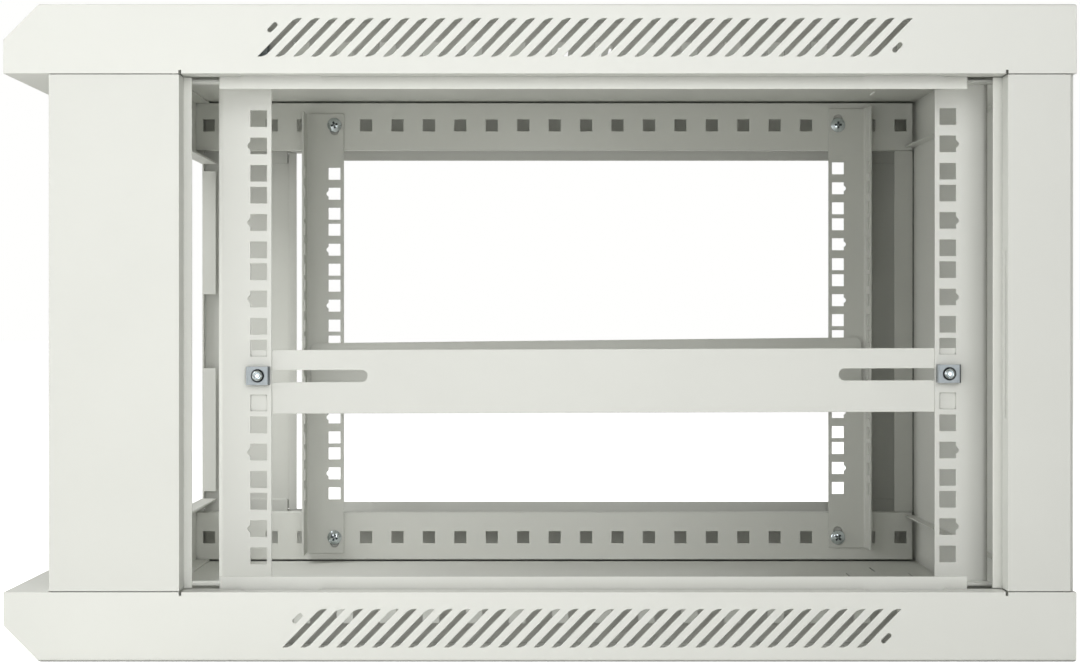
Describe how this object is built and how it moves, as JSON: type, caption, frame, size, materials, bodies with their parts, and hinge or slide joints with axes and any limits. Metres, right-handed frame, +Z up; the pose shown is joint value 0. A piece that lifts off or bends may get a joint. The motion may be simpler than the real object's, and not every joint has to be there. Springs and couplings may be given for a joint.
{
  "type": "wall mount rack cabinet frame",
  "caption": "Closed-top wall cabinet frame for rack equipment, open at front and sides, with square-hole rack rails on depth bars and slotted support braces.",
  "frame": {"origin": "middle of the footprint, on the floor cover's lower face", "axes": "+X to the cabinet's right side, -Y to its open front, +Y to the wall, +Z up"},
  "size_m": [0.6, 0.6, 0.368],
  "materials": {
    "cover_paint": "satin powder coat, fine texture",
    "frame_paint": "satin powder coat, fine texture",
    "panel_paint": "satin powder coat, fine texture",
    "bar_paint": "satin powder coat, fine texture",
    "rail_paint": "satin powder coat, fine texture",
    "brace_paint": "satin powder coat, fine texture",
    "screw_zinc": "bright zinc plate",
    "cage_nut_zinc": "bright zinc plate"
  },
  "bodies": {
    "root": {"top_cover": "cover_paint", "bottom_cover": "cover_paint", "front_post_right": "frame_paint", "front_post_left": "frame_paint", "rear_post_right": "frame_paint", "rear_post_left": "frame_paint", "back_panel": "panel_paint", "upper_cross_rail": "frame_paint", "lower_cross_rail": "frame_paint", "upper_depth_bar_right": "bar_paint", "upper_depth_bar_left": "bar_paint", "lower_depth_bar_right": "bar_paint", "lower_depth_bar_left": "bar_paint", "front_rack_rail_right": "rail_paint", "front_rack_rail_left": "rail_paint", "rear_rack_rail_right": "rail_paint", "rear_rack_rail_left": "rail_paint", "support_brace_right": "brace_paint", "support_brace_left": "brace_paint", "rail_screws": "screw_zinc", "brace_screws": "screw_zinc", "rail_cage_nuts": "cage_nut_zinc", "brace_cage_nuts": "cage_nut_zinc"}
  },
  "joints": []
}
